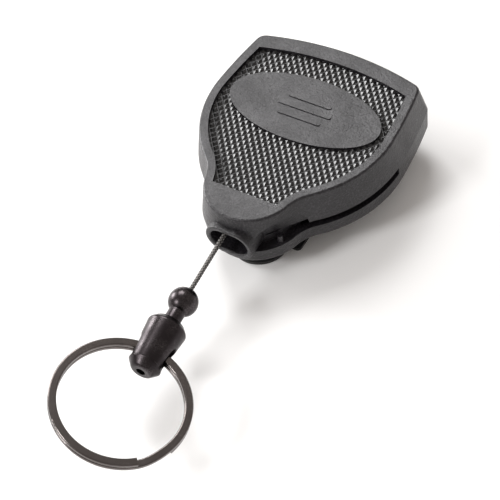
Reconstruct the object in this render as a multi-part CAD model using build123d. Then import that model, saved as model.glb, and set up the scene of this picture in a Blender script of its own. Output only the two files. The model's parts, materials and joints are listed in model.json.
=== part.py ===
from build123d import *
from math import asin, atan, atan2, cos, degrees, hypot, radians, sin, sqrt
import os

os.makedirs("parts", exist_ok=True)

# Retractable badge reel: a shield-shaped two-shell case on a belt clip, with a sprung spool inside,
# and a cord that ends in a ball, a swivel barrel and a split ring.
# Millimetres. X to the right, Y from the nose to the top of the case, Z out of the front face.
# Origin: on the flat the reel rests on (the clip's outer face), under the spool's axis.
# The pieces are drawn with Y counted from the nose tip, and moved to the origin as they are saved.

# ---- driving dimensions ----
# case outline at the crease round the front face
case_length = 50.3          # nose tip to the middle of the top edge
case_half_width = 21.6      # at the shoulders
nose_radius = 10.3
nose_turn = 74.0            # degrees of the nose circle each side of the tip
waist_half_width = 13.0     # where the hollow flank turns out again
waist_y = 12.3
shoulder_y = 32.3
corner_inset = 1.8          # the sides lean in this much towards the top corners
top_rise = 2.8              # the top edge bows up this much over its corners
corner_radius = 2.4

# case depth and walls
wall = 1.6
front_depth = 6.9           # parting line to the front face
rear_depth = 5.8            # back face to the parting line
flare = 1.3                 # the front shell is this much larger at the parting line
rear_draft = 0.3            # the rear shell is this much smaller at its back face
crease_fillet = 0.55
back_fillet = 1.0
nose_block_length = 8.0     # solid nose that holds the dock and the cord guide

# front face
border_side = 1.9
border_top = 3.85
field_start = 7.0           # nose tip to the straight lower edge of the recessed field
field_depth = 0.9
oval_from_top = 18.1        # top edge to the middle of the oval
oval_half_length = 18.05
oval_half_height = 8.65
oval_step = 0.2             # oval face below the border
bar_length = 13.0
bar_width = 1.0
bar_pitch = 2.5
bar_count = 3

# slot in the rear shell's rim and window in the front shell's flank, on the right
slot_height = 2.0
slot_top = 30.8
window_middle_x = 9.35
window_middle_y = 4.87
window_turn = 50.5          # degrees the window's line is turned from X
window_half_length = 6.4
window_height = 4.6
window_reach = 1.8          # it is cut this far inward of that line
post_radius = 0.6
post_turn = 58.0            # degrees round the nose circle to the post

# dock and cord guide
dock_half_width = 5.7
dock_half_height = 4.1
dock_x = 0.15
dock_depth = 4.2
guide_x = -2.1              # the cord leaves a little left of the middle
guide_radius = 2.6
guide_length = 3.4
guide_mouth = 0.6
collar_face = -1.6          # the guide's collar stands out of the nose to here
collar_wall = 1.25
collar_floor = 1.0
collar_fillet = 0.45
cord_radius = 0.5
cord_way_radius = 1.6
cord_bend = 2.5
cord_lean = 3.9             # degrees the drawn cord leans to the right of straight down

# spool and spring
spool_gap = 1.8             # spool rim to the case wall
arbor_radius = 2.6
arbor_flange_radius = 3.8
arbor_tip_radius = 1.56     # spigot through the case floor
arbor_recess = 0.4          # ceiling left over the arbor's socket
washer_thickness = 0.3
flange_thickness = 1.0
groove_height = 3.6
rim_depth = 1.6             # flange rim above the winding
winding_depth = 2.4
drum_wall = 1.2
knot_radius = 0.9
spring_thickness = 0.3
spring_turns = 7
spring_start = 0.6          # arbor's middle to its spring slot
spring_inner_gap = 1.2      # arbor to the spring's first turn
spring_outer_gap = 0.6      # spring's last turn to the drum

# fasteners
screw_radius = 0.95
screw_head_radius = 1.9
screw_head_height = 1.2
screw_bite = 4.0
screw_cross_length = 2.2
screw_cross_width = 0.5
screw_cross_depth = 0.65
boss_wall = 1.25
nose_screw_x = 8.4
nose_screw_y = 9.4
corner_boss_in = 4.3        # from the crease's corner, across
corner_boss_down = 3.1      # and down
rivet_x = 6.0
rivet_down = 9.0            # below the spool's axis
rivet_radius = 1.0
rivet_head_radius = 1.8
rivet_head = 0.6
arbor_head_radius = 2.2
arbor_screw_bite = 3.0

# belt clip
clip_sheet = 1.0
belt_gap = 4.2
clip_half_width = 9.1
clip_tip_half_width = 6.4
clip_tip_y = 2.6
clip_shoulder_y = 9.9
clip_bend_y = 41.0
clip_base_start = 15.0
clip_base_corner = 3.0
clip_tongue_corner = 1.0
clip_edge = 0.3
clip_split = 0.15
dimple_rise = 1.2
dimple_radius = 2.6
dimple_from_tip = 4.2

# cord end
cord_out = 19.4             # guide face to the ball's near side
ball_radius = 3.15
neck_radius = 1.8
neck_length = 3.0
journal_radius = 1.5
plug_start = 0.5            # ball's middle to the stem's plug
crimp_radius = 0.85
barrel_big_radius = 4.35
barrel_small_radius = 3.45
barrel_length = 10.5
barrel_shoulder = 1.4
barrel_slope = 1.2          # the shoulder narrows this much to the neck
barrel_round = 0.8
barrel_top_wall = 1.4
barrel_bore = 2.6
stem_head_radius = 2.2
stem_head_height = 1.2
cap_lip = 0.12              # cap over the barrel's end, on the radius
cap_length = 2.1
cap_round = 1.0
cap_end_share = 0.62        # cap's end face as a share of its lip
cap_plug = 0.9
cap_hole_radius = 1.0
hole_from_top = 7.55        # barrel's neck end to the middle of the cross slot
slot_half_height = 1.7
slot_half_length = 2.75
barrel_roll = 17.3          # degrees the barrel has turned about the cord
ring_dip = -5.0             # degrees the ring hangs below the barrel's line

# split ring
ring_diameter = 28.6
wire_width = 1.7
wire_height = 1.0
turn_gap = 0.06
wire_fillet = 0.3
crossover = 31.0            # degrees the wire takes to rise from one turn to the next
crossover_steps = 8
ring_end = 312.0            # degrees round the ring to the end of the upper turn

# clearances
seat_gap = 0.02             # pieces that stay put
run_gap = 0.05              # radial, shafts that turn
face_gap = 0.15             # along an axis, faces that turn past each other
washer_gap = 0.1
layer_gap = 0.3             # the free cord to the wound cord
cord_gap = 0.1              # cord in its guide

# a cutting tool runs this far past the face it cuts, and a joined piece this far into its neighbour
past = 1.0
joined = 0.1

# ---- worked out from the above ----
back_z = 2 * clip_sheet + belt_gap
parting_z = back_z + rear_depth
top_z = parting_z + front_depth
field_z = top_z - field_depth
floor_z = back_z + wall
ceiling_z = field_z - wall
base_z = clip_sheet + belt_gap
room_across = case_half_width - wall - spool_gap
room_along = (case_length - nose_block_length - 2 * wall - spool_gap) / 2
spool_radius = min(room_across, room_along)
spool_y = case_length - wall - spool_gap - spool_radius
oval_y = case_length - oval_from_top
groove_low = parting_z - groove_height / 2
groove_high = parting_z + groove_height / 2
flange_low = groove_low - flange_thickness
washer_low = flange_low - washer_gap - washer_thickness
winding_outer = spool_radius - rim_depth
winding_inner = winding_outer - winding_depth
boss_radius = screw_radius + boss_wall
guide_back = dock_depth + guide_length
ball_y = dock_depth - cord_out - ball_radius
neck_start = ball_y - sqrt(ball_radius**2 - neck_radius**2)
barrel_y = neck_start - neck_length
hole_y = barrel_y - hole_from_top
barrel_end = barrel_y - barrel_length
head_start = barrel_y - barrel_top_wall - face_gap - washer_thickness
ring_mean = (ring_diameter - wire_width) / 2
ring_level = (wire_height + turn_gap) / 2
nose_end_x = nose_radius * sin(radians(nose_turn))
nose_end_y = nose_radius * (1 - cos(radians(nose_turn)))


def at(x, y, z):
    return Location((x, y, z))


def save(node, shape):
    placed = at(0, -spool_y, 0) * shape
    placed.label = node
    export_step(placed, f"parts/{node}.step")


def tube_y(radius, y_from, y_to, x=0, z=None):
    """Round bar along Y."""
    level = parting_z if z is None else z
    bar = Cylinder(radius, abs(y_to - y_from), rotation=(90, 0, 0))
    return at(x, (y_from + y_to) / 2, level) * bar


def disc(radius, z_from, z_to, x=0, y=0):
    """Round bar along Z."""
    return at(x, y, (z_from + z_to) / 2) * Cylinder(radius, z_to - z_from)


def cone(r_low, r_high, z_from, z_to, x, y):
    return at(x, y, (z_from + z_to) / 2) * Cone(r_low, r_high, z_to - z_from)


# ---- case outline ----
def half_outline():
    """Right half of the crease line, from the nose tip to the middle of the top edge."""
    turn = radians(nose_turn)
    mid_nose = (nose_radius * sin(turn / 2), nose_radius * (1 - cos(turn / 2)))
    nose_end = (nose_end_x, nose_end_y)
    waist = (waist_half_width, waist_y)
    shoulder = (case_half_width, shoulder_y)
    corner = (case_half_width - corner_inset, case_length - top_rise)
    top_bow = (corner[0] ** 2 + top_rise**2) / (2 * top_rise)
    quarter = corner[0] / 2
    top_mid = (quarter, case_length - top_bow + sqrt(top_bow**2 - quarter**2))
    nose = ThreePointArc((0, 0), mid_nose, nose_end)
    waist_arc = TangentArc(nose_end, waist, tangent=nose % 1)
    shoulder_arc = TangentArc(waist, shoulder, tangent=waist_arc % 1)
    side = TangentArc(shoulder, corner, tangent=shoulder_arc % 1)
    top = ThreePointArc(corner, top_mid, (0, case_length))
    return [nose, waist_arc, shoulder_arc, side, top]


def case_outline():
    """The crease line as a closed face, with sharp top corners."""
    right = half_outline()
    left = []
    for edge in right:
        start, middle, end = [(-p.X, p.Y) for p in (edge @ 0, edge @ 0.5, edge @ 1)]
        left.append(ThreePointArc(end, middle, start))
    return make_face(Wire.combine([*right, *left])[0])


crease = case_outline()
front_angle = degrees(atan(flare / front_depth))
rear_angle = degrees(atan(rear_draft / rear_depth))


def grown(amount):
    """The crease line moved outwards, its corners still sharp."""
    return offset(crease, amount=amount, kind=Kind.INTERSECTION)


def on_level(face, z):
    return at(0, 0, z) * face


def shield(grow, level, depth, taper, corner):
    """A block with the case's outline, drafted, with its two top corner edges rounded."""
    block = extrude(on_level(grown(grow), level), amount=depth, taper=taper)
    uprights = [e for e in block.edges() if abs((e @ 0).Z - (e @ 1).Z) > abs(depth) * 0.9]
    corners = [e for e in uprights if (e @ 0.5).Y > spool_y and abs((e @ 0.5).X) > case_half_width / 2]
    corners = sorted(corners, key=lambda e: -(e @ 0.5).Y)[:2]
    return fillet(corners, corner)


def half_plane(y_limit):
    """Everything below y_limit, as a tall box."""
    reach = 3 * case_length
    return at(0, y_limit - reach / 2, parting_z) * Box(reach, reach, reach)


def screw_places():
    corner_x = case_half_width - corner_inset - corner_boss_in
    corner_y = case_length - top_rise - corner_boss_down
    nose = [(-nose_screw_x, nose_screw_y), (nose_screw_x, nose_screw_y)]
    return [*nose, (-corner_x, corner_y), (corner_x, corner_y)]


def dock_block(inset, low_y, high_y):
    """A bar with round ends, lying along Y in the dock and this much smaller all round."""
    start = Plane(origin=(dock_x, low_y, parting_z), x_dir=(1, 0, 0), z_dir=(0, 1, 0))
    width = 2 * (dock_half_width - inset)
    return extrude(start * SlotOverall(width, 2 * (dock_half_height - inset)), amount=high_y - low_y)


def nose_cuts():
    """Dock for the guide's collar, seat for its tube and the cord's way through the nose."""
    dock = dock_block(0, -flare - 2 * past, dock_depth)
    seat = tube_y(guide_radius + seat_gap, dock_depth - joined, guide_back, guide_x)
    way = tube_y(cord_way_radius, dock_depth, nose_block_length + 3 * past, guide_x)
    return dock + seat + way


# ---- front shell ----
def field_face():
    """The recessed field: the crease set in from the border, cut straight above the nose."""
    inner = grown(-border_side)
    lowered = at(0, border_side - border_top, 0) * inner
    lower_edge = at(0, field_start + case_length / 2, 0) * Rectangle(3 * case_half_width, case_length)
    return inner & lowered & lower_edge


def slot_band():
    """A strip on the wall at the right, from the dock to the end of the side slot."""
    over = wall / 3
    ring = grown(flare + over) - grown(flare - wall - rear_draft - over)
    reach = slot_top + 2 * past
    start_x = dock_x + dock_half_width - past
    return ring & (at(start_x + reach / 2, slot_top - reach / 2, 0) * Rectangle(reach, reach))


def oval_marks():
    """Plain bars across the oval."""
    marks = Sketch()
    for row in range(bar_count):
        shift = (row - (bar_count - 1) / 2) * bar_pitch
        marks += at(0, shift, 0) * SlotOverall(bar_length - abs(shift), bar_width)
    return marks


def front_shell():
    body = shield(flare, parting_z, front_depth, front_angle, corner_radius)
    rim = body.faces().sort_by(Axis.Z)[-1].edges()
    body = fillet(rim, crease_fillet)
    cavity = shield(flare - wall, parting_z, ceiling_z - parting_z, front_angle, corner_radius / 2)
    cavity -= half_plane(nose_block_length)
    body -= cavity
    for x, y in screw_places():
        body += disc(boss_radius, parting_z, ceiling_z + joined, x, y)
    for x, y in screw_places():
        body -= disc(screw_radius + seat_gap, parting_z - past, parting_z + screw_bite + past / 2, x, y)
    # socket that holds the top of the arbor
    socket_low = groove_high + flange_thickness + past / 2
    body += disc(arbor_radius + boss_wall, socket_low, ceiling_z + joined, 0, spool_y)
    body -= disc(arbor_radius + seat_gap, socket_low - past, ceiling_z - arbor_recess, 0, spool_y)
    # recessed field with the plain oval standing in it
    body -= extrude(on_level(field_face(), field_z), amount=field_depth + past)
    oval = at(0, oval_y, field_z) * Ellipse(oval_half_length, oval_half_height)
    body += extrude(oval, amount=field_depth - oval_step)
    body += extrude(at(0, oval_y, top_z - oval_step) * oval_marks(), amount=oval_step)
    body -= nose_cuts()
    return body - flank_window()


def flank_window():
    """Half-oval opening through the right flank, just above the parting line."""
    middle = Vector(window_middle_x, window_middle_y, parting_z)
    along = Vector(cos(radians(window_turn)), sin(radians(window_turn)), 0)
    outward = Vector(along.Y, -along.X, 0)
    plane = Plane(origin=middle - outward * window_reach, x_dir=along, z_dir=outward)
    depth = window_reach + 2 * flare + 2 * past
    return extrude(plane * Ellipse(window_half_length, window_height), amount=depth)


# ---- rear shell ----
def rear_shell():
    body = shield(flare, parting_z, -rear_depth, rear_angle, corner_radius)
    rim = body.faces().sort_by(Axis.Z)[0].edges()
    body = fillet(rim, back_fillet)
    cavity = shield(flare - wall - rear_draft, floor_z, rear_depth, 0, corner_radius / 2)
    cavity -= half_plane(nose_block_length)
    body -= cavity
    for x, y in screw_places():
        body += disc(boss_radius, floor_z - joined, parting_z, x, y)
    for x, y in screw_places():
        body -= disc(screw_radius + seat_gap, back_z - past, parting_z + past, x, y)
        body -= screw_head(x, y, seat_gap)
    body -= disc(arbor_tip_radius + seat_gap, back_z - past, floor_z + past, 0, spool_y)
    for x, y in rivet_places():
        body -= rivet(x, y, seat_gap)
    body -= nose_cuts()
    # side slot in the rim, with a small post left standing in it at the corner of the nose
    slot_low = parting_z - slot_height
    body -= extrude(on_level(slot_band(), slot_low), amount=slot_height + past)
    post_ring = nose_radius + flare - 2 * post_radius
    post_x = post_ring * sin(radians(post_turn))
    post_y = nose_radius - post_ring * cos(radians(post_turn))
    body += disc(post_radius, slot_low - joined, parting_z, post_x, post_y)
    return body


def screw_head(x, y, gap=0.0):
    """Countersunk head, flush with the back face."""
    return cone(screw_head_radius + gap, screw_radius + gap, back_z, back_z + screw_head_height + gap, x, y)


def case_screws():
    group = Part()
    bar_along = Box(screw_cross_length, screw_cross_width, 2 * screw_cross_depth)
    bar_across = Box(screw_cross_width, screw_cross_length, 2 * screw_cross_depth)
    for x, y in screw_places():
        shank = disc(screw_radius, back_z + screw_head_height, parting_z + screw_bite, x, y)
        group += shank + screw_head(x, y) - at(x, y, back_z) * (bar_along + bar_across)
    return group


# ---- belt clip ----
def rivet_places():
    return [(-rivet_x, spool_y - rivet_down), (rivet_x, spool_y - rivet_down)]


def rivet(x, y, gap=0.0):
    """Rivet set flush in the clip's base and in the case floor."""
    shank = disc(rivet_radius + gap, base_z, floor_z, x, y)
    outer = cone(rivet_head_radius + gap, rivet_radius + gap, base_z, base_z + rivet_head, x, y)
    inner = cone(rivet_radius + gap, rivet_head_radius + gap, floor_z - rivet_head, floor_z, x, y)
    return shank + outer + inner


def clip_rivets():
    group = Part()
    for x, y in rivet_places():
        group += rivet(x, y)
    return group


def arbor_screw(gap=0.0):
    head = cone(arbor_head_radius + gap, screw_radius + gap, base_z, back_z, 0, spool_y)
    shank = disc(screw_radius + gap, base_z + clip_sheet / 2, floor_z + arbor_screw_bite + gap, 0, spool_y)
    return head + shank


def clip_base():
    """Flat plate riveted to the back, and the bend that turns down to the tongue."""
    length = clip_bend_y - clip_base_start
    plate = Box(2 * clip_half_width, length, clip_sheet)
    plate = at(0, clip_base_start + length / 2, base_z + clip_sheet / 2) * plate
    plate = fillet(plate.edges().filter_by(Axis.Z).group_by(Axis.Y)[0], clip_base_corner)
    half = back_z / 2
    bend_plane = Plane(origin=(-clip_half_width, clip_bend_y, half), x_dir=(0, 1, 0), z_dir=(1, 0, 0))
    section = Circle(half) - Circle(half - clip_sheet)
    section &= at(half, 0, 0) * Rectangle(2 * half, 4 * half)
    body = plate + extrude(bend_plane * section, amount=2 * clip_half_width)
    for x, y in rivet_places():
        body -= rivet(x, y, seat_gap)
    return body - arbor_screw(seat_gap)


def clip_tongue():
    """Flat tongue with a shouldered, rounded tip and a raised contact dimple."""
    main_length = clip_bend_y - clip_split - clip_shoulder_y
    main = at(0, clip_shoulder_y + main_length / 2, 0) * Rectangle(2 * clip_half_width, main_length)
    main = fillet(main.vertices().group_by(Axis.Y)[0], clip_tongue_corner)
    tip = at(0, clip_tip_y + clip_tip_half_width, 0) * Circle(clip_tip_half_width)
    tongue = extrude(main + tip, amount=clip_sheet)
    outer_edges = tongue.faces().sort_by(Axis.Z)[0].edges().group_by(Axis.Y)[:-1]
    rim = [edge for group in outer_edges for edge in group]
    tongue = fillet(rim, clip_edge)
    sphere_radius = (dimple_radius**2 + dimple_rise**2) / (2 * dimple_rise)
    dimple_y = clip_tip_y + dimple_from_tip
    ball = at(0, dimple_y, clip_sheet + dimple_rise - sphere_radius) * Sphere(sphere_radius)
    keep = disc(dimple_radius + past, clip_sheet - 2 * joined, clip_sheet + 2 * dimple_rise, 0, dimple_y)
    return tongue + (ball & keep)


# ---- arbor, spool and spring ----
def arbor():
    """Fixed post: the spool turns on it and its slot holds the spring's inner end."""
    body = disc(arbor_radius, floor_z, ceiling_z - arbor_recess - seat_gap, 0, spool_y)
    body += disc(arbor_flange_radius, floor_z, washer_low, 0, spool_y)
    body += disc(arbor_tip_radius, back_z, floor_z, 0, spool_y)
    slot_width = spring_thickness + 2 * seat_gap
    slot_span = groove_height + 2 * seat_gap
    slot = Box(arbor_radius, slot_width, slot_span)
    body -= at(arbor_radius / 2 + spring_start, spool_y, parting_z) * slot
    return body - arbor_screw(seat_gap)


def thrust_washer():
    ring = disc(arbor_flange_radius + past, washer_low, washer_low + washer_thickness, 0, spool_y)
    return ring - disc(arbor_radius + run_gap, washer_low - past, washer_low + 2 * past, 0, spool_y)


def spool_drum():
    body = disc(spool_radius, flange_low, groove_low, 0, spool_y)
    body += disc(winding_inner, groove_low, groove_high, 0, spool_y)
    body -= disc(winding_inner - drum_wall, groove_low, groove_high + past, 0, spool_y)
    body -= disc(arbor_radius + run_gap, flange_low - past, groove_high, 0, spool_y)
    # notch for the spring's outer hook, and a hole for the knot that anchors the cord
    notch = Box(drum_wall + past, spring_thickness + 2 * seat_gap, groove_height + past)
    body -= at(winding_inner - drum_wall / 2, spool_y, parting_z + past / 2) * notch
    return body - knot_place() * Cylinder(knot_radius + seat_gap, 2 * drum_wall, rotation=(0, 90, 0))


def spool_cover():
    body = disc(spool_radius, groove_high, groove_high + flange_thickness, 0, spool_y)
    return body - disc(arbor_radius + run_gap, groove_high - past, groove_high + 3 * past, 0, spool_y)


def knot_place():
    return at(-(winding_inner - drum_wall / 2), spool_y, parting_z)


def cord_knot():
    return knot_place() * Cylinder(knot_radius, drum_wall - 2 * face_gap, rotation=(0, 90, 0))


def spiral_edges(start_radius, pitch, half_turns):
    """A two-centre spiral of half circles about the spool axis."""
    edges = []
    for step in range(half_turns):
        radius = start_radius + step * pitch / 2
        centre = 0 if step % 2 == 0 else pitch / 2
        side = 1 if step % 2 == 0 else -1
        begin = (centre + side * radius, 0)
        middle = (centre, side * radius)
        end = (centre - side * radius, 0)
        edges.append(ThreePointArc(begin, middle, end))
    return edges


def mainspring():
    """Spiral strip, with a tab in the arbor's slot and a hook in the drum's notch."""
    inner_start = arbor_radius + spring_inner_gap
    outer_end = winding_inner - drum_wall - spring_outer_gap
    pitch = (outer_end - inner_start) / spring_turns
    half_turns = 2 * spring_turns
    half = spring_thickness / 2
    inner_line = spiral_edges(inner_start - half, pitch, half_turns)
    outer_line = spiral_edges(inner_start + half, pitch, half_turns)
    start_cap = Line(inner_line[0] @ 0, outer_line[0] @ 0)
    end_cap = Line(inner_line[-1] @ 1, outer_line[-1] @ 1)
    strip = make_face(Wire.combine([*inner_line, *outer_line, start_cap, end_cap])[0])
    inner_tab = (2 * spring_start - face_gap, inner_start + half)
    outer_hook = (outer_end - half, winding_inner - 2 * face_gap)
    for tab_start, tab_end in (inner_tab, outer_hook):
        strip += at((tab_start + tab_end) / 2, -half, 0) * Rectangle(tab_end - tab_start, spring_thickness)
    height = groove_height - 2 * face_gap
    return extrude(at(0, spool_y + half, groove_low + face_gap) * strip, amount=height)


def cord_winding():
    body = disc(winding_outer, groove_low + run_gap, groove_high - run_gap, 0, spool_y)
    return body - disc(winding_inner, groove_low - past, groove_high + past, 0, spool_y)


# ---- cord guide and cord ----
def cord_guide():
    """A tube for the cord, behind a hollow collar that stops the ball at the nose."""
    hole_radius = cord_radius + cord_gap
    body = tube_y(guide_radius, dock_depth - joined, guide_back, guide_x)
    body -= tube_y(hole_radius, dock_depth - past, guide_back + past, guide_x)
    mouth = body.edges().filter_by(GeomType.CIRCLE).group_by(Axis.Y)[0].sort_by(SortBy.RADIUS)[0]
    body = fillet(mouth, guide_mouth)
    collar = dock_block(seat_gap, collar_face, dock_depth - seat_gap)
    collar -= dock_block(seat_gap + collar_wall, collar_face - past, dock_depth - collar_floor)
    lip = collar.faces().sort_by(Axis.Y)[0].edges()
    collar = fillet(lip, collar_fillet)
    way_radius = hole_radius + guide_mouth + joined
    collar -= tube_y(way_radius, collar_face, dock_depth + past, guide_x)
    return body + collar


def cord_inner_run():
    """From the winding's rim, straight to the guide and through it."""
    leave_radius = winding_outer + layer_gap + cord_radius
    bend_y = guide_back + cord_bend * 0.7
    reach = hypot(guide_x, spool_y - bend_y)
    lean = atan2(-guide_x, spool_y - bend_y) + asin(leave_radius / reach)
    run = sqrt(reach**2 - leave_radius**2)
    start = (guide_x + run * sin(lean), bend_y + run * cos(lean), parting_z)
    corner = (guide_x, bend_y, parting_z)
    path = FilletPolyline(start, corner, (guide_x, dock_depth, parting_z), radius=cord_bend)
    end = Plane(origin=path @ 1, z_dir=path % 1)
    return sweep(end * Circle(cord_radius), path=path)


def drawn_out(shape):
    """Moves a piece drawn along x = 0 on to the drawn cord's line, which leans at the guide."""
    moved = at(guide_x, 0, 0) * shape
    return moved.rotate(Axis((guide_x, dock_depth, parting_z), (0, 0, 1)), cord_lean)


def cord_outer_run():
    return tube_y(cord_radius, dock_depth - run_gap, ball_y + ball_radius - crimp_radius)


# ---- ball, stem, barrel, drawn along x = 0 ----
def turned(points):
    """Body of revolution about the cord's line, from (radius, y) corners."""
    section = make_face(Polyline([*points, points[0]], close=False))
    return at(0, 0, parting_z) * revolve(section, axis=Axis.Y)


def ball_stop():
    body = at(0, ball_y, parting_z) * Sphere(ball_radius)
    body -= tube_y(cord_radius + run_gap, ball_y, ball_y + 2 * ball_radius)
    return body - tube_y(journal_radius + seat_gap, ball_y - 2 * ball_radius, ball_y - plug_start + joined)


def swivel_stem():
    """Sleeve between the ball and the barrel, with a journal and a head inside the barrel."""
    sleeve = tube_y(neck_radius, neck_start - joined, barrel_y + face_gap)
    sleeve -= at(0, ball_y, parting_z) * Sphere(ball_radius + seat_gap)
    plug = tube_y(journal_radius, ball_y - plug_start, neck_start)
    journal = tube_y(journal_radius, neck_start, head_start)
    head = tube_y(stem_head_radius, head_start, head_start - stem_head_height)
    bore = tube_y(crimp_radius + seat_gap, ball_y, head_start - stem_head_height - past)
    return sleeve + plug + journal + head - bore


def cord_crimp():
    """Ferrule on the end of the cord, held in the stem's bore."""
    return tube_y(crimp_radius, ball_y - plug_start - joined, barrel_y - barrel_top_wall)


def swivel_washer():
    low = barrel_y - barrel_top_wall - washer_thickness - face_gap / 2
    ring = tube_y(stem_head_radius + 2 * joined, low, low + washer_thickness)
    return ring - tube_y(journal_radius + run_gap, low - past, low + 2 * past)


def rolled(shape):
    """Turn a piece about the cord's line to where the barrel has swivelled."""
    return shape.rotate(Axis((0, 0, parting_z), (0, 1, 0)), barrel_roll)


def swivel_barrel():
    body = turned([
        (0, barrel_y),
        (barrel_big_radius - barrel_slope, barrel_y),
        (barrel_big_radius, barrel_y - barrel_shoulder),
        (barrel_small_radius, barrel_end),
        (0, barrel_end),
    ])
    round_edges = body.edges().filter_by(GeomType.CIRCLE).group_by(Axis.Y)
    body = fillet(round_edges[-2] + round_edges[-1], barrel_round)
    body -= tube_y(journal_radius + run_gap, barrel_y + past, barrel_y - barrel_top_wall - joined)
    body -= tube_y(barrel_bore, barrel_y - barrel_top_wall, barrel_end - past)
    across = 4 * barrel_big_radius
    slot_plane = Plane(origin=(-across / 2, hole_y, parting_z), x_dir=(0, 1, 0), z_dir=(1, 0, 0))
    slot = slot_plane * SlotOverall(2 * slot_half_length, 2 * slot_half_height)
    return rolled(body - extrude(slot, amount=across))


def end_cap():
    """Domed plug pressed into the barrel's open end."""
    lip = barrel_small_radius + cap_lip
    edge = 2 * cap_lip
    body = turned([
        (0, barrel_end),
        (lip - cap_lip, barrel_end),
        (lip, barrel_end - edge),
        (lip, barrel_end - 2 * edge),
        (lip * cap_end_share, barrel_end - cap_length),
        (0, barrel_end - cap_length),
    ])
    shoulder = body.edges().filter_by(GeomType.CIRCLE).group_by(Axis.Y)[0]
    body = fillet(shoulder, cap_round)
    body += tube_y(barrel_bore - seat_gap, barrel_end + cap_plug, barrel_end)
    return body - tube_y(cap_hole_radius, barrel_end + cap_plug + past, barrel_end - cap_length - past)


# ---- split ring ----
def wire_section(angle, level):
    """Rounded flat wire, cut square to the ring at this angle."""
    turn = radians(angle)
    origin = Vector(ring_mean * cos(turn), ring_mean * sin(turn), level)
    outward = Vector(cos(turn), sin(turn), 0)
    plane = Plane(origin=origin, x_dir=outward, z_dir=(-sin(turn), cos(turn), 0))
    return plane * RectangleRounded(wire_width, wire_height, wire_fillet)


def split_ring():
    """Two stacked turns of flat wire, joined by a short rise from the lower to the upper."""
    turn_start = ring_end + crossover
    upper = revolve(wire_section(turn_start, ring_level), axis=Axis.Z, revolution_arc=360 - crossover)
    lower = revolve(wire_section(turn_start, -ring_level), axis=Axis.Z, revolution_arc=360 - crossover)
    sections = []
    for step in range(crossover_steps + 1):
        share = step / crossover_steps
        ease = share * share * (3 - 2 * share)
        sections.append(wire_section(ring_end + share * crossover, ring_level * (2 * ease - 1)))
    ring = upper + loft(sections, ruled=True) + lower
    # hung in the cross slot: turned about the slot's axis, then rolled with the barrel
    ring = (at(0, -ring_mean, 0) * ring).rotate(Axis.X, ring_dip)
    return rolled(at(0, hole_y, parting_z) * ring)


case_pieces = {
    "front_shell": front_shell,
    "rear_shell": rear_shell,
    "case_screws": case_screws,
    "cord_guide": cord_guide,
    "spool_arbor": arbor,
    "arbor_screw": arbor_screw,
    "thrust_washer": thrust_washer,
    "mainspring": mainspring,
    "spool_drum": spool_drum,
    "spool_cover": spool_cover,
    "cord_winding": cord_winding,
    "cord_anchor_knot": cord_knot,
    "cord_inner_run": cord_inner_run,
    "clip_rivets": clip_rivets,
    "clip_base": clip_base,
    "clip_tongue": clip_tongue,
}

cord_pieces = {
    "cord_outer_run": cord_outer_run,
    "ball_stop": ball_stop,
    "swivel_stem": swivel_stem,
    "cord_crimp": cord_crimp,
    "swivel_washer": swivel_washer,
    "swivel_barrel": swivel_barrel,
    "barrel_end_cap": end_cap,
    "split_ring": split_ring,
}

for node, build in case_pieces.items():
    save(node, build())

for node, build in cord_pieces.items():
    save(node, drawn_out(build()))
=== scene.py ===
import json
from math import pi, radians

import bpy
from mathutils import Matrix, Vector


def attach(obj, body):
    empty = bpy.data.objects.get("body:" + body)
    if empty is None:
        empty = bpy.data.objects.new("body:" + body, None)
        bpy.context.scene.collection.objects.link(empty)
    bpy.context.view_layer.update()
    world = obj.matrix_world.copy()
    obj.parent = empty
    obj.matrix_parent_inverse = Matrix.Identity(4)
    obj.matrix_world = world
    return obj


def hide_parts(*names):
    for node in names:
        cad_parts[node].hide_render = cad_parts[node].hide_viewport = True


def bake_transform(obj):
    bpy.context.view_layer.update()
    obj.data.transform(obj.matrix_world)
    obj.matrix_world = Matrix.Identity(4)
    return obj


# Retractable badge reel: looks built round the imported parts. Metres, in the part's own frame.
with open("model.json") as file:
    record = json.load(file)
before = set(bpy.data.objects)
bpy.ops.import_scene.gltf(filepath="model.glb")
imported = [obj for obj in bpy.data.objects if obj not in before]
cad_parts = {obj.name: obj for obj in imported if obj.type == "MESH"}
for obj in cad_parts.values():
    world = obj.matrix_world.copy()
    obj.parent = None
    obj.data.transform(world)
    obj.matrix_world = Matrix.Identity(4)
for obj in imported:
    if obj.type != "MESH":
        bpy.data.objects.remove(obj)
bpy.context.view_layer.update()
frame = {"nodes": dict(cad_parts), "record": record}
nodes = frame["nodes"]
record = frame["record"]
MM = 0.001

slot_of = {part["node"]: part["material_slot"] for part in record["subparts"]}
joint_of = {joint["name"]: joint for joint in record["behaviour"]["joints"]}


# ---------------------------------------------------------------- node helpers
def add(tree, kind, **settings):
    node = tree.nodes.new(kind)
    for name, value in settings.items():
        setattr(node, name, value)
    return node


def feed(tree, socket, value):
    """Links a socket, or sets a plain value."""
    if isinstance(value, bpy.types.NodeSocket):
        tree.links.new(value, socket)
    else:
        socket.default_value = value


def calc(tree, operation, a, b=None, c=None):
    node = add(tree, "ShaderNodeMath", operation=operation)
    for socket, value in zip(node.inputs, (a, b, c)):
        if value is not None:
            feed(tree, socket, value)
    return node.outputs[0]


def remap(tree, value, low, high, to_low, to_high):
    node = add(tree, "ShaderNodeMapRange")
    given = {"Value": value, "From Min": low, "From Max": high, "To Min": to_low, "To Max": to_high}
    for name, setting in given.items():
        feed(tree, node.inputs[name], setting)
    return node.outputs["Result"]


def noise(tree, place, scale, detail=2.0, roughness=0.5):
    node = add(tree, "ShaderNodeTexNoise")
    feed(tree, node.inputs["Vector"], place)
    feed(tree, node.inputs["Scale"], scale)
    feed(tree, node.inputs["Detail"], detail)
    feed(tree, node.inputs["Roughness"], roughness)
    return node.outputs["Fac"]


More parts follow.
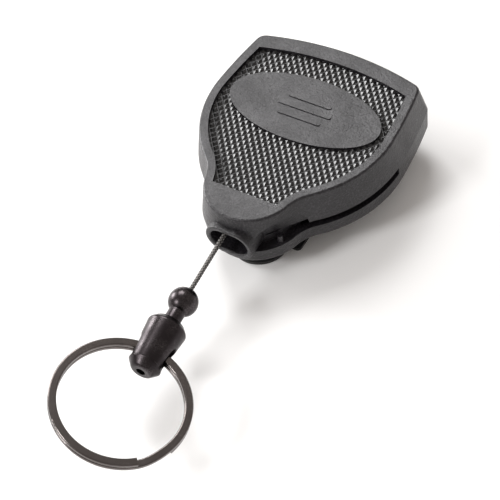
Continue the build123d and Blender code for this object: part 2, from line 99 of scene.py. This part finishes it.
def new_group(name, inputs, outputs, kind="ShaderNodeTree"):
    """An empty node group with its named inputs and outputs."""
    tree = bpy.data.node_groups.new(name, kind)
    for label, socket, value in inputs:
        made = tree.interface.new_socket(name=label, in_out="INPUT", socket_type=socket)
        if value is not None:
            made.default_value = value
    for label, socket in outputs:
        tree.interface.new_socket(name=label, in_out="OUTPUT", socket_type=socket)
    return tree, tree.nodes.new("NodeGroupInput"), tree.nodes.new("NodeGroupOutput")


# ---------------------------------------------------------------- shared surface effects
FLOAT, VECTOR = "NodeSocketFloat", "NodeSocketVector"


def make_moulded_grain():
    """Fine pebbled grain of moulded plastic: a height, and a mask of its high spots, which the plastics
    paint paler as glints.
    """
    tree, given, out = new_group(
        "moulded grain",
        [("Place", VECTOR, None), ("Grain size", FLOAT, 0.0003)],
        [("Height", FLOAT), ("High spots", FLOAT)],
    )
    scale = calc(tree, "DIVIDE", 1.0, given.outputs["Grain size"])
    fine = noise(tree, given.outputs["Place"], scale, 3.0, 0.6)
    pebble = add(tree, "ShaderNodeTexVoronoi", feature="SMOOTH_F1")
    feed(tree, pebble.inputs["Vector"], given.outputs["Place"])
    feed(tree, pebble.inputs["Scale"], calc(tree, "MULTIPLY", scale, 0.7))
    dome = calc(tree, "SUBTRACT", 1.0, pebble.outputs["Distance"])
    height = calc(tree, "ADD", calc(tree, "MULTIPLY", fine, 0.6), calc(tree, "MULTIPLY", dome, 0.4))
    feed(tree, out.inputs["Height"], height)
    # the high spots of the fine noise: painted glints on the grain
    feed(tree, out.inputs["High spots"], remap(tree, fine, 0.5, 0.75, 0.0, 1.0))
    return tree


def make_handling_wear():
    """Soft rubbing and faint smudges: a mask for colour and one for roughness."""
    tree, given, out = new_group(
        "handling wear",
        [("Place", VECTOR, None), ("Patch size", FLOAT, 0.006), ("Streak size", FLOAT, 0.0006)],
        [("Rubbed", FLOAT), ("Smudge", FLOAT)],
    )
    place = given.outputs["Place"]
    patches = noise(tree, place, calc(tree, "DIVIDE", 1.0, given.outputs["Patch size"]), 3.0, 0.55)
    streaks = noise(tree, place, calc(tree, "DIVIDE", 1.0, given.outputs["Streak size"]), 4.0, 0.7)
    in_patch = remap(tree, patches, 0.4, 0.7, 0.0, 1.0)
    in_streak = remap(tree, streaks, 0.42, 0.7, 0.0, 1.0)
    feed(tree, out.inputs["Rubbed"], calc(tree, "MULTIPLY", in_patch, in_streak))
    feed(tree, out.inputs["Smudge"], remap(tree, patches, 0.3, 0.7, 0.0, 1.0))
    return tree


def make_turning_lines():
    """Fine lathe rings round one axis of a turned metal piece."""
    tree, given, out = new_group(
        "turning lines",
        [("Place", VECTOR, None), ("Axis", VECTOR, (0, 1, 0)), ("Ring width", FLOAT, 0.00025)],
        [("Height", FLOAT)],
    )
    along = add(tree, "ShaderNodeVectorMath", operation="DOT_PRODUCT")
    feed(tree, along.inputs[0], given.outputs["Place"])
    feed(tree, along.inputs[1], given.outputs["Axis"])
    line = add(tree, "ShaderNodeCombineXYZ")
    feed(tree, line.inputs["X"], along.outputs["Value"])
    scale = calc(tree, "DIVIDE", 1.0, given.outputs["Ring width"])
    feed(tree, out.inputs["Height"], noise(tree, line.outputs["Vector"], scale, 2.0, 0.6))
    return tree


grain_group = make_moulded_grain()
wear_group = make_handling_wear()
turning_group = make_turning_lines()


def use(tree, group, **values):
    node = add(tree, "ShaderNodeGroup", node_tree=group)
    for name, value in values.items():
        feed(tree, node.inputs[name.replace("_", " ")], value)
    return node


# ---------------------------------------------------------------- materials
def start_material(name):
    material = bpy.data.materials.new(name)
    material.use_nodes = True
    tree = material.node_tree
    shader = tree.nodes["Principled BSDF"]
    place = add(tree, "ShaderNodeTexCoord").outputs["Object"]
    return material, tree, shader, place


def two_tone(tree, mask, dark, light):
    mix = add(tree, "ShaderNodeMix", data_type="RGBA")
    feed(tree, mix.inputs["Factor"], mask)
    mix.inputs["A"].default_value = (*dark, 1)
    mix.inputs["B"].default_value = (*light, 1)
    return mix.outputs["Result"]


def bump(tree, height, depth, over=None):
    node = add(tree, "ShaderNodeBump")
    node.inputs["Strength"].default_value = 1.0
    node.inputs["Distance"].default_value = depth
    feed(tree, node.inputs["Height"], height)
    if over is not None:
        feed(tree, node.inputs["Normal"], over)
    return node.outputs["Normal"]


def moulded_plastic(name, dark, light, smooth, rough, grain_size, grain_depth):
    """Plastic with a pebbled grain, painted paler on the grain's high spots as glints, and paler where it
    is handled.
    """
    glint_share, rubbed_share = 0.7, 0.3
    material, tree, shader, place = start_material(name)
    grain = use(tree, grain_group, Place=place, Grain_size=grain_size)
    wear = use(tree, wear_group, Place=place)
    # the colour mask is painted glint on the grain's high spots plus real rubbed wear
    spots = calc(tree, "MULTIPLY", grain.outputs["High spots"], glint_share)
    mask = calc(tree, "ADD", spots, calc(tree, "MULTIPLY", wear.outputs["Rubbed"], rubbed_share))
    feed(tree, shader.inputs["Base Color"], two_tone(tree, mask, dark, light))
    feed(tree, shader.inputs["Roughness"], remap(tree, wear.outputs["Smudge"], 0.0, 1.0, rough, smooth))
    feed(tree, shader.inputs["Normal"], bump(tree, grain.outputs["Height"], grain_depth))
    return material


def handled_metal(name, dark, light, smooth, rough, axis=None, metallic=1.0, patch=4 * MM):
    """Metal worn paler and smoother where it is handled, with lathe rings if it turns about an axis."""
    streak, pit, pit_depth, line_depth = 0.25 * MM, 0.18 * MM, 0.008 * MM, 0.006 * MM
    material, tree, shader, place = start_material(name)
    wear = use(tree, wear_group, Place=place, Patch_size=patch, Streak_size=streak)
    feed(tree, shader.inputs["Base Color"], two_tone(tree, wear.outputs["Rubbed"], dark, light))
    feed(tree, shader.inputs["Roughness"], remap(tree, wear.outputs["Smudge"], 0.0, 1.0, rough, smooth))
    shader.inputs["Metallic"].default_value = metallic
    grain = use(tree, grain_group, Place=place, Grain_size=pit)
    normal = bump(tree, grain.outputs["Height"], pit_depth)
    if axis is not None:
        turning = use(tree, turning_group, Place=place, Axis=axis)
        normal = bump(tree, turning.outputs["Height"], line_depth, over=normal)
    feed(tree, shader.inputs["Normal"], normal)
    return material


def plain_fibre(name, dark, light):
    """Soft thread with uneven colour."""
    fibres_per_metre, fibre_depth = 9000.0, 0.03 * MM
    material, tree, shader, place = start_material(name)
    fibre = noise(tree, place, fibres_per_metre, 2.0, 0.6)
    # random flecks in the thread; in the grey strands the whole tone is painted sheen
    worn = remap(tree, fibre, 0.35, 0.7, 0.0, 1.0)
    feed(tree, shader.inputs["Base Color"], two_tone(tree, worn, dark, light))
    shader.inputs["Roughness"].default_value = 0.62
    shader.inputs["Sheen Weight"].default_value = 0.15
    feed(tree, shader.inputs["Normal"], bump(tree, fibre, fibre_depth))
    return material


cord_axis = Vector(joint_of["cord_pull"]["axis"]).normalized()

# Each plastic's light colour is partly painted glint on the grain's high spots and partly handling wear.
case_plastic = moulded_plastic(
    "case plastic",
    dark=(0.007, 0.0062, 0.008),
    light=(0.06, 0.054, 0.063),
    smooth=0.33,
    rough=0.45,
    grain_size=0.4 * MM,
    grain_depth=0.18 * MM,
)
texture_plastic = moulded_plastic(
    "case plastic, raised texture",
    dark=(0.006, 0.0058, 0.0062),
    light=(0.016, 0.0155, 0.0162),
    smooth=0.26,
    rough=0.34,
    grain_size=0.4 * MM,
    grain_depth=0.008 * MM,
)
spool_plastic = moulded_plastic(
    "spool plastic",
    dark=(0.03, 0.03, 0.031),
    light=(0.06, 0.06, 0.06),
    smooth=0.4,
    rough=0.5,
    grain_size=0.4 * MM,
    grain_depth=0.01 * MM,
)
swivel_metal = handled_metal(
    "black satin swivel metal",
    dark=(0.035, 0.03, 0.032),
    light=(0.15, 0.136, 0.14),
    smooth=0.24,
    rough=0.36,
    axis=tuple(cord_axis),
)
ring_metal = handled_metal(
    "black nickel ring",
    dark=(0.12, 0.107, 0.103),
    light=(0.32, 0.29, 0.28),
    smooth=0.15,
    rough=0.25,
    patch=8 * MM,
)
clip_metal = handled_metal(
    "black oxide steel",
    dark=(0.03, 0.03, 0.031),
    light=(0.07, 0.068, 0.066),
    smooth=0.36,
    rough=0.5,
    metallic=0.8,
)
spring_metal = handled_metal(
    "spring steel", dark=(0.42, 0.42, 0.43), light=(0.56, 0.56, 0.56), smooth=0.25, rough=0.38
)
arbor_metal = handled_metal(
    "turned brass", dark=(0.5, 0.38, 0.17), light=(0.66, 0.52, 0.27), smooth=0.25, rough=0.4, axis=(0, 0, 1)
)
# The grey strands are painted sheen: a paler copy of the black cord fibre standing in for the braid's
# highlights.
sheen_fibre = plain_fibre("cord fibre, worn", dark=(0.14, 0.13, 0.125), light=(0.42, 0.4, 0.385))
dark_fibre = plain_fibre("cord fibre, black", dark=(0.012, 0.012, 0.012), light=(0.045, 0.043, 0.04))

finish_of = {
    "case_plastic": case_plastic,
    "spool_plastic": spool_plastic,
    "cord_braid": dark_fibre,
    "swivel_metal": swivel_metal,
    "ring_nickel": ring_metal,
    "black_steel": clip_metal,
    "spring_steel": spring_metal,
    "arbor_brass": arbor_metal,
}

for node, obj in nodes.items():
    obj.data.materials.clear()
    obj.data.materials.append(finish_of[slot_of[node]])


# ---------------------------------------------------------------- mesh helpers
def link_new(name, mesh):
    obj = bpy.data.objects.new(name, mesh)
    bpy.context.scene.collection.objects.link(obj)
    return obj


def settle(obj):
    """Turns an object's evaluated shape into a plain mesh object of the same name."""
    graph = bpy.context.evaluated_depsgraph_get()
    mesh = bpy.data.meshes.new_from_object(obj.evaluated_get(graph), depsgraph=graph)
    name = obj.name
    bpy.data.objects.remove(obj)
    mesh.name = name
    return link_new(name, mesh)


def set_input(modifier, name, value):
    modifier[modifier.node_group.interface.items_tree[name].identifier] = value


def grow(name, tree, values):
    """Runs a geometry tree on an empty mesh and keeps the result as a plain mesh."""
    obj = link_new(name, bpy.data.meshes.new(name))
    modifier = obj.modifiers.new(name, "NODES")
    modifier.node_group = tree
    for label, value in values.items():
        set_input(modifier, label, value)
    obj.update_tag()
    bpy.context.view_layer.update()
    return settle(obj)


OBJECT, MATERIAL, GEOMETRY, INTEGER = (
    "NodeSocketObject",
    "NodeSocketMaterial",
    "NodeSocketGeometry",
    "NodeSocketInt",
)


# ---------------------------------------------------------------- raised texture on the front
def field_floor(name):
    """The flat floor of the front shell's recess, as a sheet of its own, and its level."""
    facing_up, shallowest, deepest, level_gap = 0.999, 0.6 * MM, 3 * MM, 0.02 * MM
    source = nodes["front_shell"].data
    corners = [source.vertices[i].co for i in range(len(source.vertices))]
    top = max(p.z for p in corners)
    flats = {}
    for face in source.polygons:
        level = round(face.center.z / MM, 2)
        if face.normal.z > facing_up and top - deepest < face.center.z < top - shallowest:
            flats[level] = flats.get(level, 0.0) + face.area
    level = max(flats, key=flats.get) * MM
    flat = [f for f in source.polygons if f.normal.z > facing_up]
    faces = [f for f in flat if abs(f.center.z - level) < level_gap]
    points = [corners[i] for f in faces for i in f.vertices]
    mesh = bpy.data.meshes.new(name)
    mesh.from_pydata(points, [], [tuple(range(3 * k, 3 * k + 3)) for k in range(len(faces))])
    return link_new(name, mesh), level, top


def make_pyramid_tree():
    """Rows of little pyramids that fill a floor and stop at its edge and at an oval."""
    tree, given, out = new_group(
        "pyramid texture",
        [
            ("Floor", OBJECT, None),
            ("Level", FLOAT, 0.0),
            ("Middle", VECTOR, (0, 0, 0)),
            ("Across", FLOAT, 0.0016),
            ("Along", FLOAT, 0.002),
            ("Height", FLOAT, 0.0007),
            ("Blunt", FLOAT, 0.08),
            ("Columns", INTEGER, 31),
            ("Rows", INTEGER, 51),
            ("Under the border", FLOAT, 0.0007),
            ("Oval half length", FLOAT, 0.018),
            ("Oval half height", FLOAT, 0.009),
            ("Oval middle", FLOAT, 0.0),
            ("Finish", MATERIAL, None),
        ],
        [("Geometry", GEOMETRY)],
        "GeometryNodeTree",
    )
    value = given.outputs
    half_row = calc(tree, "MULTIPLY", value["Along"], 0.5)
    grid = add(tree, "GeometryNodeMeshGrid")
    gaps_across = calc(tree, "SUBTRACT", value["Columns"], 1.0)
    gaps_along = calc(tree, "SUBTRACT", value["Rows"], 1.0)
    feed(tree, grid.inputs["Size X"], calc(tree, "MULTIPLY", value["Across"], gaps_across))
    feed(tree, grid.inputs["Size Y"], calc(tree, "MULTIPLY", half_row, gaps_along))
    feed(tree, grid.inputs["Vertices X"], value["Columns"])
    feed(tree, grid.inputs["Vertices Y"], value["Rows"])
    place = add(tree, "ShaderNodeSeparateXYZ")
    feed(tree, place.inputs[0], add(tree, "GeometryNodeInputPosition").outputs[0])
    row = calc(tree, "ROUND", calc(tree, "DIVIDE", place.outputs["Y"], half_row))
    odd = calc(tree, "ABSOLUTE", calc(tree, "MODULO", row, 2.0))
    shift = calc(tree, "MULTIPLY", odd, calc(tree, "MULTIPLY", value["Across"], 0.5))
    sideways = add(tree, "ShaderNodeCombineXYZ")
    feed(tree, sideways.inputs["X"], shift)
    feed(tree, sideways.inputs["Z"], value["Level"])
    moved = add(tree, "ShaderNodeVectorMath", operation="ADD")
    feed(tree, moved.inputs[0], sideways.outputs[0])
    feed(tree, moved.inputs[1], value["Middle"])
    laid = add(tree, "GeometryNodeSetPosition")
    feed(tree, laid.inputs["Geometry"], grid.outputs["Mesh"])
    feed(tree, laid.inputs["Offset"], moved.outputs[0])
    # keep the points near the floor and outside the oval
    floor = add(tree, "GeometryNodeObjectInfo", transform_space="ORIGINAL")
    feed(tree, floor.inputs["Object"], value["Floor"])
    near = add(tree, "GeometryNodeProximity", target_element="FACES")
    feed(tree, near.inputs[0], floor.outputs["Geometry"])
    spot = add(tree, "ShaderNodeSeparateXYZ")
    feed(tree, spot.inputs[0], add(tree, "GeometryNodeInputPosition").outputs[0])
    across = calc(tree, "DIVIDE", spot.outputs["X"], value["Oval half length"])
    above = calc(tree, "SUBTRACT", spot.outputs["Y"], value["Oval middle"])
    along = calc(tree, "DIVIDE", above, value["Oval half height"])
    across_squared = calc(tree, "MULTIPLY", across, across)
    oval = calc(tree, "ADD", across_squared, calc(tree, "MULTIPLY", along, along))
    beyond = calc(tree, "GREATER_THAN", near.outputs["Distance"], value["Under the border"])
    inside = calc(tree, "LESS_THAN", oval, 1.0)
    drop = calc(tree, "MAXIMUM", beyond, inside)
    cut = add(tree, "GeometryNodeDeleteGeometry", domain="POINT")
    feed(tree, cut.inputs["Geometry"], laid.outputs["Geometry"])
    feed(tree, cut.inputs["Selection"], drop)
    # one pyramid, standing on every point
    pyramid = add(tree, "GeometryNodeMeshCone", fill_type="NGON")
    feed(tree, pyramid.inputs["Vertices"], 4)
    feed(tree, pyramid.inputs["Radius Top"], value["Blunt"])
    feed(tree, pyramid.inputs["Radius Bottom"], 1.0)
    feed(tree, pyramid.inputs["Depth"], 1.0)
    size = add(tree, "ShaderNodeCombineXYZ")
    feed(tree, size.inputs["X"], calc(tree, "MULTIPLY", value["Across"], 0.5))
    feed(tree, size.inputs["Y"], half_row)
    feed(tree, size.inputs["Z"], value["Height"])
    sized = add(tree, "GeometryNodeTransform")
    feed(tree, sized.inputs["Geometry"], pyramid.outputs["Mesh"])
    feed(tree, sized.inputs["Scale"], size.outputs[0])
    stood = add(tree, "GeometryNodeInstanceOnPoints")
    feed(tree, stood.inputs["Points"], cut.outputs["Geometry"])
    feed(tree, stood.inputs["Instance"], sized.outputs["Geometry"])
    real = add(tree, "GeometryNodeRealizeInstances")
    feed(tree, real.inputs["Geometry"], stood.outputs["Instances"])
    coated = add(tree, "GeometryNodeSetMaterial")
    feed(tree, coated.inputs["Geometry"], real.outputs["Geometry"])
    feed(tree, coated.inputs["Material"], value["Finish"])
    feed(tree, out.inputs["Geometry"], coated.outputs["Geometry"])
    return tree


def raise_texture():
    floor, level, top = field_floor("field floor sheet")
    spots = [v.co for v in floor.data.vertices]
    middle_x = (min(p.x for p in spots) + max(p.x for p in spots)) / 2
    middle_y = (min(p.y for p in spots) + max(p.y for p in spots)) / 2
    oval_half_length, oval_half_height, oval_middle = 18.05 * MM, 8.65 * MM, 3.5 * MM
    sunk = 0.04 * MM  # the pyramids' feet go this far into the floor
    below_border = 0.52 * MM
    tucked = 0.9 * MM  # and this far in under the oval
    texture = grow(
        "front_texture",
        make_pyramid_tree(),
        {
            "Floor": floor,
            "Level": level - sunk,
            "Middle": (middle_x, middle_y, 0.0),
            "Across": 1.64 * MM,
            "Along": 2.02 * MM,
            "Height": top - level - below_border + sunk,
            "Blunt": 0.07,
            "Columns": 31,
            "Rows": 51,
            "Under the border": 1.0 * MM,
            "Oval half length": oval_half_length - tucked,
            "Oval half height": oval_half_height - tucked,
            "Oval middle": oval_middle,
            "Finish": texture_plastic,
        },
    )
    bpy.data.objects.remove(floor)
    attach(texture, "case")
    return texture


raise_texture()


# ---------------------------------------------------------------- braided cord
def make_braid_tree():
    """A round braid along Z: strands wind both ways and pass over and under each other."""
    tree, given, out = new_group(
        "round braid",
        [
            ("Length", FLOAT, 0.02),
            ("Radius", FLOAT, 0.0003),
            ("Lift", FLOAT, 0.00005),
            ("Strand radius", FLOAT, 0.00015),
            ("Turn length", FLOAT, 0.0025),
            ("Strands", INTEGER, 4),
            ("Points", INTEGER, 300),
            ("Core radius", FLOAT, 0.0003),
            ("One way", MATERIAL, None),
            ("Other way", MATERIAL, None),
            ("Turned", VECTOR, (0, 0, 0)),
            ("Start", VECTOR, (0, 0, 0)),
        ],
        [("Geometry", GEOMETRY)],
        "GeometryNodeTree",
    )
    value = given.outputs
    end = add(tree, "ShaderNodeCombineXYZ")
    feed(tree, end.inputs["Z"], value["Length"])
    line = add(tree, "GeometryNodeCurvePrimitiveLine")
    feed(tree, line.inputs["End"], end.outputs[0])
    fine = add(tree, "GeometryNodeResampleCurve")
    feed(tree, fine.inputs["Curve"], line.outputs["Curve"])
    feed(tree, fine.inputs["Count"], value["Points"])
    joined = add(tree, "GeometryNodeJoinGeometry")
    for way, finish in ((1.0, "One way"), (-1.0, "Other way")):
        spot = add(tree, "ShaderNodeSeparateXYZ")
        feed(tree, spot.inputs[0], add(tree, "GeometryNodeInputPosition").outputs[0])
        turns = calc(tree, "DIVIDE", spot.outputs["Z"], value["Turn length"])
        angle = calc(tree, "MULTIPLY", turns, way * 2 * pi)
        wave = calc(tree, "COSINE", calc(tree, "MULTIPLY", angle, value["Strands"]))
        lift = calc(tree, "MULTIPLY", calc(tree, "MULTIPLY", wave, way), value["Lift"])
        radius = calc(tree, "ADD", value["Radius"], lift)
        coil = add(tree, "ShaderNodeCombineXYZ")
        feed(tree, coil.inputs["X"], calc(tree, "MULTIPLY", radius, calc(tree, "COSINE", angle)))
        feed(tree, coil.inputs["Y"], calc(tree, "MULTIPLY", radius, calc(tree, "SINE", angle)))
        feed(tree, coil.inputs["Z"], spot.outputs["Z"])
        wound = add(tree, "GeometryNodeSetPosition")
        feed(tree, wound.inputs["Geometry"], fine.outputs["Curve"])
        feed(tree, wound.inputs["Position"], coil.outputs[0])
        profile = add(tree, "GeometryNodeCurvePrimitiveCircle")
        feed(tree, profile.inputs["Resolution"], 6)
        feed(tree, profile.inputs["Radius"], value["Strand radius"])
        strand = add(tree, "GeometryNodeCurveToMesh")
        feed(tree, strand.inputs["Curve"], wound.outputs["Geometry"])
        feed(tree, strand.inputs["Profile Curve"], profile.outputs["Curve"])
        feed(tree, strand.inputs["Fill Caps"], True)
        starts = add(tree, "GeometryNodePoints")
        feed(tree, starts.inputs["Count"], value["Strands"])
        share = calc(tree, "DIVIDE", add(tree, "GeometryNodeInputIndex").outputs[0], value["Strands"])
        turned = add(tree, "ShaderNodeCombineXYZ")
        feed(tree, turned.inputs["Z"], calc(tree, "MULTIPLY", share, 2 * pi))
        to_rotation = add(tree, "FunctionNodeEulerToRotation")
        feed(tree, to_rotation.inputs[0], turned.outputs[0])
        round_about = add(tree, "GeometryNodeInstanceOnPoints")
        feed(tree, round_about.inputs["Points"], starts.outputs[0])
        feed(tree, round_about.inputs["Instance"], strand.outputs["Mesh"])
        feed(tree, round_about.inputs["Rotation"], to_rotation.outputs[0])
        real = add(tree, "GeometryNodeRealizeInstances")
        feed(tree, real.inputs["Geometry"], round_about.outputs["Instances"])
        coated = add(tree, "GeometryNodeSetMaterial")
        feed(tree, coated.inputs["Geometry"], real.outputs["Geometry"])
        feed(tree, coated.inputs["Material"], value[finish])
        tree.links.new(coated.outputs["Geometry"], joined.inputs[0])
    core_profile = add(tree, "GeometryNodeCurvePrimitiveCircle")
    feed(tree, core_profile.inputs["Resolution"], 12)
    feed(tree, core_profile.inputs["Radius"], value["Core radius"])
    core = add(tree, "GeometryNodeCurveToMesh")
    feed(tree, core.inputs["Curve"], fine.outputs["Curve"])
    feed(tree, core.inputs["Profile Curve"], core_profile.outputs["Curve"])
    feed(tree, core.inputs["Fill Caps"], True)
    dark = add(tree, "GeometryNodeSetMaterial")
    feed(tree, dark.inputs["Geometry"], core.outputs["Mesh"])
    feed(tree, dark.inputs["Material"], value["Other way"])
    tree.links.new(dark.outputs["Geometry"], joined.inputs[0])
    round_cord = add(tree, "GeometryNodeSetShadeSmooth")
    feed(tree, round_cord.inputs["Geometry"], joined.outputs["Geometry"])
    swung = add(tree, "GeometryNodeTransform")
    feed(tree, swung.inputs["Geometry"], round_cord.outputs["Geometry"])
    feed(tree, swung.inputs["Rotation"], value["Turned"])
    feed(tree, swung.inputs["Translation"], value["Start"])
    feed(tree, out.inputs["Geometry"], swung.outputs["Geometry"])
    return tree


def ends_along(node, axis):
    """Middle of a CAD rod's two end faces, first and last along the axis."""
    spots = [v.co.copy() for v in nodes[node].data.vertices]
    reach = [p.dot(axis) for p in spots]
    low, high = min(reach), max(reach)
    edge = 0.02 * MM
    first = [p for p, r in zip(spots, reach) if r < low + edge]
    last = [p for p, r in zip(spots, reach) if r > high - edge]
    return sum(first, Vector()) / len(first), sum(last, Vector()) / len(last)


def braid_cord():
    start, end = ends_along("cord_outer_run", cord_axis)
    turned = cord_axis.to_track_quat("Z", "Y").to_euler()
    cord = grow(
        "braided_cord",
        make_braid_tree(),
        {
            "Length": (end - start).length,
            "Radius": 0.33 * MM,
            "Lift": 0.05 * MM,
            "Strand radius": 0.16 * MM,
            "Turn length": 3.0 * MM,
            "Strands": 4,
            "Points": 260,
            "Core radius": 0.31 * MM,
            # one way: grey strands of painted sheen; other way: the cord's real black
            "One way": sheen_fibre,
            "Other way": dark_fibre,
            "Turned": tuple(turned),
            "Start": tuple(start),
        },
    )
    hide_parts("cord_outer_run")
    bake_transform(cord)
    return cord


braid_cord()

# ---------------------------------------------------------------- floor, light and camera
def make_floor():
    half = 1.5
    below = 0.02 * MM
    mesh = bpy.data.meshes.new("studio_floor")
    corners = [(-half, -half, 0), (half, -half, 0), (half, half, 0), (-half, half, 0)]
    mesh.from_pydata(corners, [], [(0, 1, 2, 3)])
    material, _, shader, _ = start_material("white paper floor")
    shader.inputs["Base Color"].default_value = (0.93, 0.93, 0.93, 1)
    shader.inputs["Roughness"].default_value = 0.85
    shader.inputs["Specular IOR Level"].default_value = 0.2
    mesh.materials.append(material)
    floor = link_new("studio_floor", mesh)
    floor.location.z = -below


def softbox(name, place, size, power):
    """A square light that looks at the origin."""
    light = bpy.data.lights.new(name, "AREA")
    light.size = size
    light.energy = power
    obj = bpy.data.objects.new(name, light)
    bpy.context.scene.collection.objects.link(obj)
    obj.location = place
    obj.rotation_euler = (-Vector(place)).to_track_quat("-Z", "Y").to_euler()


def make_light():
    sky_colour, sky_strength = (1, 0.935, 0.885, 1), 0.46
    world = bpy.data.worlds.new("studio")
    world.use_nodes = True
    background = world.node_tree.nodes["Background"]
    background.inputs["Color"].default_value = sky_colour
    background.inputs["Strength"].default_value = sky_strength
    bpy.context.scene.world = world
    softbox("behind, seen in the flat faces", place=(-0.365, 0.42, 0.71), size=0.4, power=5.2)
    softbox("left, seen in the metal", place=(-0.365, -0.62, 0.545), size=0.22, power=3.6)
    softbox("low at the side, seen in the texture", place=(-0.78, 0.02, 0.24), size=0.34, power=6.4)


def make_camera():
    """Above the lower right of the reel, rolled a little clockwise, with a long lens."""
    turn, rise, roll = 41.1, 51.9, -13.05
    distance, lens = 370.0 * MM, 130.2
    aim_right, aim_up = 4.76 * MM, -6.69 * MM
    nose_tip = Vector((0, -28.7 * MM, 18.9 * MM))
    look = Matrix.Rotation(radians(turn), 3, "Z") @ Matrix.Rotation(radians(90 - rise), 3, "X")
    look = look @ Matrix.Rotation(radians(roll), 3, "Z")
    data = bpy.data.cameras.new("camera")
    data.lens, data.sensor_width = lens, 36.0
    data.clip_start, data.clip_end = 0.01, 10.0
    camera = bpy.data.objects.new("camera", data)
    bpy.context.scene.collection.objects.link(camera)
    place = nose_tip + look @ Vector((aim_right, aim_up, distance))
    camera.matrix_world = Matrix.Translation(place) @ look.to_4x4()
    bpy.context.scene.camera = camera


make_floor()
make_light()
make_camera()
bpy.context.scene.view_settings.view_transform = "Standard"
